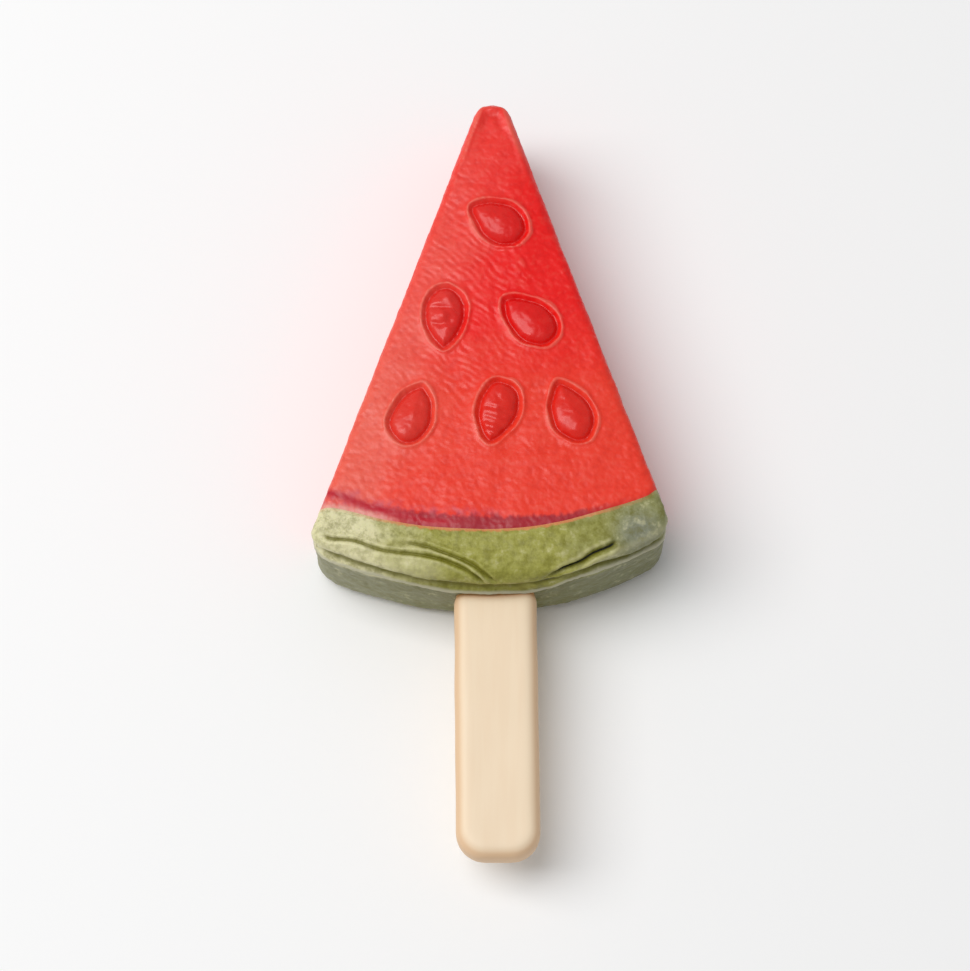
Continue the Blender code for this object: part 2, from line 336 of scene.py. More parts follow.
def corner_centre(side):
    """The middle of the rounding between a straight side (1 right, -1 left) and the foot."""
    foot = FOOT_CENTRES[side]
    along = Vector((side * math.sin(HALF_ANGLE), -math.cos(HALF_ANGLE)))
    inward = Vector((-side * math.cos(HALF_ANGLE), -math.sin(HALF_ANGLE)))
    start = Vector((0, APEX_Y)) + CORNER_RADIUS * inward - foot
    half_b = start.dot(along)
    c = start.length_squared - (FOOT_RADII[side] - CORNER_RADIUS) ** 2
    return foot + start + (math.sqrt(half_b**2 - c) - half_b) * along


def slice_outline():
    """(point, outward normal) round the slice, counterclockwise from the right of its tip."""
    right = corner_centre(1)
    left = corner_centre(-1)
    right_angle = math.atan2(*(right - FOOT_CENTRES[1]).yx)
    left_angle = math.atan2(*(left - FOOT_CENTRES[-1]).yx)
    tip = Vector((0, APEX_Y - TIP_RADIUS / math.sin(HALF_ANGLE)))
    down = -math.pi / 2
    points = list(arc(tip, TIP_RADIUS, HALF_ANGLE, math.pi - HALF_ANGLE, 24))
    points += arc(left, CORNER_RADIUS, math.pi - HALF_ANGLE, math.tau + left_angle, 20)
    points += list(arc(FOOT_CENTRES[-1], FOOT_RADII[-1], left_angle, down, 32))[1:]
    points += list(arc(FOOT_CENTRES[1], FOOT_RADII[1], down, right_angle, 32))[1:-1]
    points += arc(right, CORNER_RADIUS, right_angle, HALF_ANGLE, 20)
    return points


def rim_inset(depth, radius):
    """How far a rounded rim stands in from the wall, this deep below the face."""
    below = max(0.0, radius - depth)
    return radius - math.sqrt(radius**2 - below**2)


def mould(bm, level_points):
    """Extrudes a face through the levels, each a ring with as many points as the first."""
    key = bm.verts.layers.int.new("place")
    ring = [bm.verts.new(point) for point in level_points[0]]
    for place, vertex in enumerate(ring):
        vertex[key] = place
    face = bm.faces.new(ring)
    for level, points in enumerate(level_points[1:]):
        made = bmesh.ops.extrude_face_region(bm, geom=[face])["geom"]
        for vertex in (item for item in made if isinstance(item, bmesh.types.BMVert)):
            vertex.co = points[vertex[key]]
        if level > 0:  # the face extruded from is now inside the solid
            bmesh.ops.delete(bm, geom=[face], context="FACES_ONLY")
        face = next(item for item in made if isinstance(item, bmesh.types.BMFace))
    bm.verts.layers.int.remove(key)
    bmesh.ops.recalc_face_normals(bm, faces=bm.faces)


def refine(bm, wanted):
    """Halves the faces whose middles are wanted."""
    faces = list(bm.faces)
    middles = np.array([face.calc_center_median() for face in faces])
    edges = {edge for face, want in zip(faces, wanted(middles)) if want for edge in face.edges}
    bmesh.ops.subdivide_edges(bm, edges=list(edges), cuts=1, use_grid_fill=True)


def object_from(bm, name):
    mesh = bpy.data.meshes.new(name)
    bm.to_mesh(mesh)
    bm.free()
    made = bpy.data.objects.new(name, mesh)
    bpy.context.scene.collection.objects.link(made)
    return made


def bake_modifiers(obj):
    """Replaces an object's mesh by what its modifiers make of it."""
    bpy.context.view_layer.update()
    graph = bpy.context.evaluated_depsgraph_get()
    finished = bpy.data.meshes.new_from_object(obj.evaluated_get(graph))
    obj.modifiers.clear()
    obj.data = finished
    finished.name = obj.name


def even_mesh(obj, voxel, smoothings):
    """Remeshes a solid into even quads, and gives them with the steps taken out."""
    remesh = obj.modifiers.new("even", "REMESH")
    remesh.mode = "VOXEL"
    remesh.voxel_size = voxel
    bake_modifiers(obj)
    bm = bmesh.new()
    bm.from_mesh(obj.data)
    for _ in range(smoothings):
        bmesh.ops.smooth_vert(
            bm, verts=bm.verts, factor=0.5, use_axis_x=True, use_axis_y=True, use_axis_z=True
        )
    return bm


def read_points(mesh):
    points = np.empty(len(mesh.vertices) * 3, np.float32)
    mesh.vertices.foreach_get("co", points)
    normals = np.empty(len(mesh.vertices) * 3, np.float32)
    mesh.vertices.foreach_get("normal", normals)
    return points.reshape(-1, 3).astype(float), normals.reshape(-1, 3).astype(float)


def write_points(mesh, points):
    mesh.vertices.foreach_set("co", points.astype(np.float32).ravel())
    mesh.update()


def side_distance(points):
    """How far points are inside the slice's nearer straight side."""
    return (APEX_Y - points[:, 1]) * math.sin(HALF_ANGLE) - np.abs(points[:, 0]) * math.cos(HALF_ANGLE)


def foot_inside(points):
    """How far points are inside the foot's arc, and its centre, radius and outward direction."""
    right = points[:, 0] > FOOT_X
    radius = np.where(right, FOOT_RADII[1], FOOT_RADII[-1])
    centre = np.stack([np.full(len(points), FOOT_X), FOOT_Y + radius], axis=1)
    offset = points[:, :2] - centre
    reach = np.hypot(offset[:, 0], offset[:, 1])
    return radius - reach, centre, radius, offset / reach[:, None]


def laid_flat(points):
    """Where each point lies, as x, y, once the rolled foot and its wall are laid out flat."""
    inside, centre, radius, outward = foot_inside(points)
    into_roll = FOOT_ROUND - inside
    over_wall = points[:, 2] - (THICKNESS - FOOT_ROUND)
    rolled = -FOOT_ROUND * np.arctan2(into_roll, np.maximum(over_wall, 1e-9))
    on_wall = np.where(over_wall > 0, rolled, over_wall - ROLL_LENGTH)
    above = np.where(into_roll <= 0, -into_roll, on_wall)
    return centre + (radius - FOOT_ROUND - above)[:, None] * outward, above


def rind_depth(points):
    """Distance below the rind line, negative in the flesh."""
    signed, _ = beside(points[:, :2], smooth_path(RIND_LINE))
    return -signed


def in_seed(flat, seed):
    """How far points are inside a seed's pocket, and where they are along and across it."""
    x, y, turn, length, width = seed[:5]
    offset = flat - np.array((x, y)) * MM
    towards = np.array((math.cos(math.radians(turn)), math.sin(math.radians(turn))))
    local = np.stack([offset @ towards, offset @ np.array((-towards[1], towards[0]))], axis=1)
    inside, _ = beside(local, drop_outline(length * MM, width * MM))
    return inside + 0.12 * MM * waves(flat, 5 * MM, 11), local


def seed_relief(flat, seed, sizes):
    """Height of one seed, its pocket and its lip over the face."""
    x, y, _, length, width, lumpy, notches = seed
    near = np.hypot(flat[:, 0] - x * MM, flat[:, 1] - y * MM) < (length / 2 + 4) * MM
    inside, local = in_seed(flat[near], seed)
    from_edge = inside - SEED_INSET * MM
    to_crest = np.clip(from_edge / ((width / 2 - SEED_INSET) * MM), 0.0, 1.0)
    relief = sizes.seed_rise * np.sin(to_crest * math.pi / 2) ** 0.9
    relief += 0.09 * MM * lumpy * waves(local, 3.0 * MM, 23) * ramp(0, 0.6, to_crest)
    for notch in notches:
        cut = bell(local[:, 0] - notch * length * MM - 0.06 * local[:, 1], 0.42 * MM)
        relief -= NOTCH_DEPTH * cut * ramp(0, 0.4, to_crest)
    relief -= sizes.pocket_depth * bell(from_edge + 0.05 * MM, 0.5 * MM)
    relief += sizes.lip_height * bell(from_edge + 1.1 * MM, 0.42 * MM)
    height = np.zeros(len(flat))
    height[near] = relief
    return height


def seed_share(flat):
    """A value that is 1 in the seeds and their pockets and 0 away from them."""
    share = np.zeros(len(flat))
    for seed in SEEDS:
        share = np.maximum(share, ramp(-0.1 * MM, 0.5 * MM, in_seed(flat, seed)[0]))
    return share


def crease_relief(flat, crease):
    """Height of one crease and its lips, and a value that is 1 in the crease and 0 away from it."""
    half_width, depth, lip, fades, knots = crease
    cut, distance, fade = drawn(flat, smooth_path(knots), half_width * MM, fades)
    lips = bell(distance - 2.3 * half_width * MM, 1.2 * half_width * MM) * fade
    return (lip * lips - depth * cut) * MM, cut


def rind_relief(flat, above, sizes):
    """Height of the rind's creases and rolls, and a value that is 1 in a crease."""
    height = np.zeros(len(flat))
    creased = np.zeros(len(flat))
    for crease in (*CREASES.values(), *RIM_CREASES.values()):
        relief, cut = crease_relief(flat, crease)
        height += relief
        creased = np.maximum(creased, cut)
    height += sizes.roll_swell * bell(above + 3.0 * MM, 2.3 * MM) * ramp(-4 * MM, -15 * MM, flat[:, 0])
    height += 0.35 * MM * bell(above + 3.6 * MM, 1.3 * MM) * ramp(13 * MM, 20 * MM, flat[:, 0])
    return height, creased


def foot_seam_height(x):
    """Height of the parting line along the foot."""
    path = smooth_path(SEAM_AT_FOOT)
    return np.interp(x, path[:, 0], path[:, 1])


def wrinkles(flat):
    """Fine ridges all over that slant down to the right, highest in two patches."""
    across = flat[:, 0] * math.sin(WRINKLE_SLANT) + flat[:, 1] * math.cos(WRINKLE_SLANT)
    bend = 0.5 * MM * waves(flat, 8 * MM, 3)
    patch = bell(np.hypot(flat[:, 0] + 4 * MM, (flat[:, 1] - 37 * MM) * 0.8), 11 * MM)
    low_patch = bell(np.hypot(flat[:, 0] + 7 * MM, flat[:, 1] - 19 * MM), 9 * MM)
    uneven = np.clip(0.6 + 0.5 * waves(flat, 4 * MM, 8), 0.0, 1.3)
    strength = 0.3 + 0.7 * np.maximum(patch, 0.6 * low_patch)
    return np.sin((across + bend) * math.tau / WRINKLE_SPACING) * strength * uneven


def flesh_relief(flat, sizes):
    """Height of the seeds, wrinkles and swells of the flesh over the face."""
    height = sum(seed_relief(flat, seed, sizes) for seed in SEEDS)
    height += sizes.wrinkle_height * wrinkles(flat)
    height += 0.08 * MM * waves(flat, 8 * MM, 2)
    return height


def tip_relief(points):
    """The raised rim round the tip, and the dent inside it."""
    inside = np.minimum(side_distance(points), TIP_Y - points[:, 1])
    down = TIP_Y - points[:, 1]
    rim = 0.30 * MM * bell(inside - 1.2 * MM, 0.6 * MM) * ramp(26 * MM, 4 * MM, down)
    dent = -0.35 * MM * bell(inside - 2.9 * MM, 0.9 * MM) * ramp(9 * MM, 3 * MM, down)
    return rim + dent


def keep_value(mesh, name, values):
    """Stores one number for each point of a mesh, which a material can read."""
    stored = mesh.attributes.new(name, "FLOAT", "POINT")
    stored.data.foreach_set("value", values.astype(np.float32))


def work_relief(mesh, sizes):
    """Moves the moulded slice's points into its crown, seeds, wrinkles, creases and seam."""
    points, normals = read_points(mesh)
    front = ramp(0.25, 0.8, normals[:, 2])
    back = ramp(0.25, 0.8, -normals[:, 2])
    wall = 1 - np.maximum(front, back)
    depth = rind_depth(points)
    in_rind = ramp(-0.2 * MM, 0.5 * MM, depth)
    flat, above = laid_flat(points)
    at_foot = ramp(0.1, 0.7, -normals[:, 1])
    seam_z = SEAM_Z + at_foot * (foot_seam_height(points[:, 0]) - SEAM_Z)
    over_seam = points[:, 2] - seam_z
    facing_front = ramp(0.2 * MM, 1.0 * MM, over_seam)

    folds, creased = rind_relief(flat, above, sizes)
    height = facing_front * in_rind * folds
    face = flesh_relief(points[:, :2], sizes)
    height += (1 - in_rind) * (front * face + back * np.minimum(0.0, face))
    height += front * tip_relief(points)
    height -= front * 0.16 * MM * bell(depth - 0.1 * MM, 0.45 * MM)
    seam = (wall + facing_front * at_foot).clip(0, 1) * bell(over_seam, SEAM_HALF_WIDTH)
    height += (SEAM_PROUD + (SEAM_PROUD_FOOT - SEAM_PROUD) * at_foot) * seam
    under_seam = wall * at_foot * bell(over_seam + 1.1 * MM, 0.45 * MM)
    height -= 0.35 * MM * under_seam
    keep_value(mesh, "relief", height / MM)
    # Painted shade: the rind's material darkens where this value is high, in its creases and in the
    # groove under the seam
    keep_value(mesh, "creased", np.maximum(creased * facing_front * in_rind, 0.7 * under_seam))
    # Painted highlight: the rind's material paints the seam paler by this value
    keep_value(mesh, "seam", seam)
    keep_value(mesh, "seed", seed_share(points[:, :2]) * np.maximum(front, back))
    keep_value(mesh, "below_line", depth / MM)
    keep_value(mesh, "streak", drawn(points[:, :2], smooth_path(STREAK), 0.8 * MM, (0.5, 5.0))[0])

    height += (0.04 + 0.07 * in_rind) * MM * waves(points, 6 * MM, 31)
    height += sizes.pebble_height * (1 + 0.6 * in_rind) * waves(points, 1.6 * MM, 4, 40)
    points += normals * height[:, None]

    half = np.maximum((APEX_Y - points[:, 1]) * math.tan(HALF_ANGLE), 4 * MM)
    sideways = np.clip(points[:, 0] / half, -1, 1)
    rise = ramp(SEAM_Z, THICKNESS, points[:, 2])
    points[:, 2] -= sizes.crown * sideways**2 * rise * ramp(4 * MM, 12 * MM, half)
    points[:, 2] = np.maximum(points[:, 2], 0.0)
    write_points(mesh, points)


def shows_relief(middles):
    """Whether faces are on the front, the foot, the parting line or the rim of a seed on the back."""
    near_seed = np.zeros(len(middles), bool)
    for seed in SEEDS:
        near_seed |= np.abs(in_seed(middles[:, :2], seed)[0]) < 1.2 * MM
    x, y, z = middles.T
    in_foot = y < FOOT_Y + 9 * MM + 0.2 * np.abs(x)
    on_front = z > THICKNESS - 2.5 * MM
    painted_seam_highlight = np.abs(z - SEAM_Z) < 1.5 * MM
    return on_front | in_foot | painted_seam_highlight | (near_seed & (z < 0.5 * MM))


def shows_fine_relief(middles):
    """Whether faces are on the front and beside a seed's rim or a narrow crease."""
    near = np.zeros(len(middles), bool)
    for seed in SEEDS:
        near |= np.abs(in_seed(middles[:, :2], seed)[0] + 0.1 * MM) < 0.8 * MM
    flat, _ = laid_flat(middles)
    for crease in CREASES.values():
        near |= np.abs(beside(flat, smooth_path(crease[-1]))[0]) < 1.0 * MM
    return near & (middles[:, 2] > SEAM_Z)


def moulded_slice(sizes):
    """The whole slice with its relief, made once and kept until both its pieces are cut."""
    kept = bpy.data.objects.get("moulded_slice")
    if kept:
        return kept
    steps = [1 - math.cos(math.radians(15 * step)) for step in range(7)]
    depths = [0.0, 0.3 * SIDE_ROUND] + [FOOT_ROUND * step for step in steps[2:]]
    levels = [(z, z) for z in depths] + [(THICKNESS - z, z) for z in reversed(depths)]
    rings = []
    for z, depth in levels:
        side = rim_inset(depth, SIDE_ROUND)
        foot = rim_inset(depth, FOOT_ROUND)
        ring = []
        for point, normal in slice_outline():
            share = min(1.0, max(0.0, -1.6 * normal.y))
            ring.append((*(point - (side + (foot - side) * share) * normal), z))
        rings.append(ring)
    bm = bmesh.new()
    mould(bm, rings)
    obj = object_from(bm, "moulded_slice")
    bm = even_mesh(obj, SLICE_VOXEL, 3)
    refine(bm, shows_relief)
    refine(bm, shows_fine_relief)
    bm.to_mesh(obj.data)
    bm.free()
    work_relief(obj.data, sizes)
    return obj


def cut_piece(name, operation, sizes):
    """One side of the rind line, as a piece of its own."""
    whole = moulded_slice(sizes)
    beyond = 2 * TIP_Y
    outline = [*smooth_path(RIND_LINE), (RIND_LINE[-1][0] * MM, beyond), (RIND_LINE[0][0] * MM, beyond)]
    bm = bmesh.new()
    mould(bm, [[(*point, z) for point in outline] for z in (-THICKNESS, 2 * THICKNESS)])
    cutter = object_from(bm, name + "_cutter")
    piece = bpy.data.objects.new(name, whole.data.copy())
    bpy.context.scene.collection.objects.link(piece)
    knife = piece.modifiers.new("rind_line", "BOOLEAN")
    knife.operation = operation
    knife.solver = "MANIFOLD"
    knife.object = cutter
    bake_modifiers(piece)
    bpy.data.objects.remove(cutter, do_unlink=True)
    piece.data.shade_smooth()
    piece.data.set_sharp_from_angle(angle=math.radians(62))
    return piece


def hand_over(piece, node, material):
    """Gives a finished piece its material and its place in the frame."""
    piece.data.materials.clear()
    piece.data.materials.append(material)
    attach(piece, "root")
    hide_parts(node)


def add_node(tree, kind, settings=None, inputs=None):
    """Adds a node. An input is a value, a socket, or a node whose first output in use is linked."""
    node = tree.nodes.new(kind)
    for key, value in (settings or {}).items():
        setattr(node, key, value)
    for key, value in (inputs or {}).items():
        if isinstance(value, bpy.types.Node):
            value = next(socket for socket in value.outputs if socket.enabled)
        if isinstance(value, bpy.types.NodeSocket):
            tree.links.new(value, node.inputs[key])
        else:
            node.inputs[key].default_value = value
    return node


def rgba(colour):
    return (*colour, 1.0)


def new_material(name):
    made = bpy.data.materials.new(name)
    made.use_nodes = True
    tree = made.node_tree
    tree.nodes.clear()
    return made, tree


def flesh_material(colours):
    """Frozen watermelon juice, cast in a mould: soft uneven gloss over fine frosted grain, with painted
    sheen along the left, painted shade in the hollows and a painted highlight on the pocket lips.
    """
    made, tree = new_material("frozen_watermelon_juice")
    place = add_node(tree, "ShaderNodeTexCoord").outputs["Object"]
    axes = add_node(tree, "ShaderNodeSeparateXYZ", {}, {0: place}).outputs
    relief = add_node(tree, "ShaderNodeAttribute", {"attribute_name": "relief"})
    seed = add_node(tree, "ShaderNodeAttribute", {"attribute_name": "seed"})
    streak = add_node(tree, "ShaderNodeAttribute", {"attribute_name": "streak"})
    line = add_node(tree, "ShaderNodeAttribute", {"attribute_name": "below_line"})
    clouds = add_node(
        tree, "ShaderNodeTexNoise", {}, {"Vector": place, "Scale": 1 / (9 * MM), "Detail": 2.0}
    )
    grain = add_node(
        tree, "ShaderNodeTexNoise", {}, {"Vector": place, "Scale": 1 / (1.3 * MM), "Detail": 1.5}
    )
    gloss = add_node(
        tree, "ShaderNodeTexNoise", {}, {"Vector": place, "Scale": 1 / (4 * MM), "Detail": 3.0}
    )

    # Warmer red towards the foot
    wander = add_node(tree, "ShaderNodeMath", MULTIPLY_ADD, {0: clouds, 1: 14 * MM, 2: -7 * MM})
    wandering_y = add_node(tree, "ShaderNodeMath", ADD, {0: axes["Y"], 1: wander})
    warmth = add_node(
        tree, "ShaderNodeMapRange", SMOOTH,
        {"Value": wandering_y, "From Min": 32 * MM, "From Max": 10 * MM},
    )
    colour = add_node(
        tree, "ShaderNodeMix", COLOURS, {0: warmth, 6: rgba(colours.red), 7: rgba(colours.red_warm)}
    )

    # Painted sheen along the left side, where the lamp's gloss falls, thinner towards the tip
    along_normal = add_node(
        tree, "ShaderNodeVectorMath", {"operation": "DOT_PRODUCT"},
        {0: place, 1: (math.cos(HALF_ANGLE), -math.sin(HALF_ANGLE), 0.0)},
    )
    from_side = add_node(
        tree, "ShaderNodeMath", ADD, {0: along_normal, 1: APEX_Y * math.sin(HALF_ANGLE)}
    )
    from_side = add_node(tree, "ShaderNodeMath", ADD, {0: from_side, 1: wander})
    painted_left_sheen = add_node(
        tree, "ShaderNodeMapRange", SMOOTH,
        {"Value": from_side, "From Min": 20 * MM, "From Max": 1 * MM, "To Max": 0.5},
    )
    lower = add_node(
        tree, "ShaderNodeMapRange", SMOOTH,
        {"Value": axes["Y"], "From Min": 80 * MM, "From Max": 8 * MM, "To Min": 0.35},
    )
    painted_left_sheen = add_node(tree, "ShaderNodeMath", MULTIPLY, {0: painted_left_sheen, 1: lower})
    light_grain = add_node(
        tree, "ShaderNodeMapRange", SMOOTH,
        {"Value": grain, "From Min": 0.5, "From Max": 0.7, "To Max": 0.10},
    )
    dark_grain = add_node(
        tree, "ShaderNodeMapRange", SMOOTH,
        {"Value": grain, "From Min": 0.5, "From Max": 0.32, "To Max": 0.16},
    )

    # Deeper red in the seeds, and painted shade in the hollows round them
    in_seed_colour = add_node(tree, "ShaderNodeMath", MULTIPLY, {0: seed, 1: 0.6})
    painted_hollow_shade = add_node(
        tree, "ShaderNodeMapRange", SMOOTH,
        {"Value": relief, "From Min": -0.05, "From Max": -0.7, "To Max": 0.35},
    )

    # Painted highlight: paler lips round the pockets
    raised = add_node(
        tree, "ShaderNodeMapRange", SMOOTH,
        {"Value": relief, "From Min": 0.12, "From Max": 0.32, "To Max": 0.4},
    )
    beside_seed = add_node(
        tree, "ShaderNodeMapRange", SMOOTH, {"Value": seed, "From Min": 0.4, "From Max": 0.0}
    )
    lip = add_node(tree, "ShaderNodeMath", MULTIPLY, {0: raised, 1: beside_seed})

    # The edge beside the rind wanders in strokes that run up the face
    combed_place = add_node(
        tree, "ShaderNodeMapping", {}, {"Vector": place, "Scale": (1.0, 0.3, 0.5)}
    )
    combed = add_node(
        tree, "ShaderNodeTexNoise", {},
        {"Vector": combed_place, "Scale": 1 / (0.9 * MM), "Detail": 3.0},
    )
    combed = add_node(tree, "ShaderNodeMath", MULTIPLY_ADD, {0: combed, 1: 1.6, 2: -0.8})
    blotches = add_node(
        tree, "ShaderNodeTexNoise", {},
        {"Vector": place, "Scale": 1 / (3 * MM), "Detail": 3.0, "Roughness": 0.6},
    )
    uneven = add_node(tree, "ShaderNodeMath", MULTIPLY_ADD, {0: blotches, 1: 2.4, 2: -1.2})
    ragged = add_node(tree, "ShaderNodeMath", ADD, {0: line, 1: combed})
    ragged = add_node(tree, "ShaderNodeMath", ADD, {0: ragged, 1: uneven})

    # A mauve haze over the band, at the left and the middle
    haze = add_node(
        tree, "ShaderNodeMapRange", SMOOTH, {"Value": ragged, "From Min": -5.0, "From Max": -2.2}
    )
    patchy = add_node(
        tree, "ShaderNodeMapRange", SMOOTH, {"Value": blotches, "From Min": 0.35, "From Max": 0.65}
    )
    haze = add_node(tree, "ShaderNodeMath", MULTIPLY, {0: haze, 1: patchy})
    haze_reach = add_node(
        tree, "ShaderNodeMapRange", SMOOTH,
        {"Value": axes["X"], "From Min": 8 * MM, "From Max": -8 * MM, "To Max": 0.75},
    )
    haze = add_node(tree, "ShaderNodeMath", MULTIPLY, {0: haze, 1: haze_reach})

    # The wine band, which thins out towards the right
    band_start = add_node(
        tree, "ShaderNodeMapRange", SMOOTH,
        {
            "Value": axes["X"], "From Min": -2 * MM, "From Max": 24 * MM,
            "To Min": -3.2, "To Max": -1.3,
        },
    )
    into_band = add_node(
        tree, "ShaderNodeMath", {"operation": "SUBTRACT"}, {0: ragged, 1: band_start}
    )
    band = add_node(
        tree, "ShaderNodeMapRange", SMOOTH,
        {"Value": into_band, "From Min": 0.0, "From Max": 1.2, "To Max": 0.92},
    )
    from_left = add_node(
        tree, "ShaderNodeMapRange", SMOOTH,
        {"Value": axes["X"], "From Min": -24 * MM, "From Max": -14 * MM},
    )
    to_right = add_node(
        tree, "ShaderNodeMapRange", SMOOTH,
        {"Value": axes["X"], "From Min": 27 * MM, "From Max": 14 * MM, "To Min": 0.15},
    )
    band = add_node(tree, "ShaderNodeMath", MULTIPLY, {0: band, 1: from_left})
    band = add_node(tree, "ShaderNodeMath", MULTIPLY, {0: band, 1: to_right})

    # A pale fringe at the left, under the crimson streak
    fringe = add_node(
        tree, "ShaderNodeMapRange", SMOOTH, {"Value": ragged, "From Min": -1.5, "From Max": 0.1}
    )
    at_left = add_node(
        tree, "ShaderNodeMapRange", SMOOTH,
        {"Value": axes["X"], "From Min": -15 * MM, "From Max": -23 * MM, "To Max": 0.85},
    )
    fringe = add_node(tree, "ShaderNodeMath", MULTIPLY, {0: fringe, 1: at_left})

    layers = (
        (painted_left_sheen, colours.pale_red_grain_and_sheen),
        (light_grain, colours.pale_red_grain_and_sheen),
        (dark_grain, colours.red_dark_grain_and_shade),
        (in_seed_colour, colours.red_seed),
        (painted_hollow_shade, colours.red_dark_grain_and_shade),
        (lip, colours.pale_red_grain_and_sheen),
        (haze, colours.mauve),
        (band, colours.wine),
        (fringe, colours.blush),
        (streak, colours.crimson),
    )
    for share, tint in layers:
        colour = add_node(tree, "ShaderNodeMix", COLOURS, {0: share, 6: colour, 7: rgba(tint)})

    roughness = add_node(
        tree, "ShaderNodeMapRange", SMOOTH,
        {"Value": gloss, "From Min": 0.3, "From Max": 0.7, "To Min": 0.30, "To Max": 0.44},
    )
    roughness = add_node(tree, "ShaderNodeMath", MULTIPLY_ADD, {0: seed, 1: -0.08, 2: roughness})
    bump = add_node(
        tree, "ShaderNodeBump", {}, {"Height": grain, "Distance": 0.22 * MM, "Strength": 0.55}
    )
    shader = add_node(
        tree, "ShaderNodeBsdfPrincipled", {},
        {
            "Base Color": colour,
            "Roughness": roughness,
            "Normal": bump,
            "IOR": 1.45,
            "Specular IOR Level": 0.45,
            "Subsurface Weight": 0.12,
            "Subsurface Radius": (1.0, 0.3, 0.2),
            "Subsurface Scale": 1.5 * MM,
        },
    )
    add_node(tree, "ShaderNodeOutputMaterial", {}, {"Surface": shader})
    return made


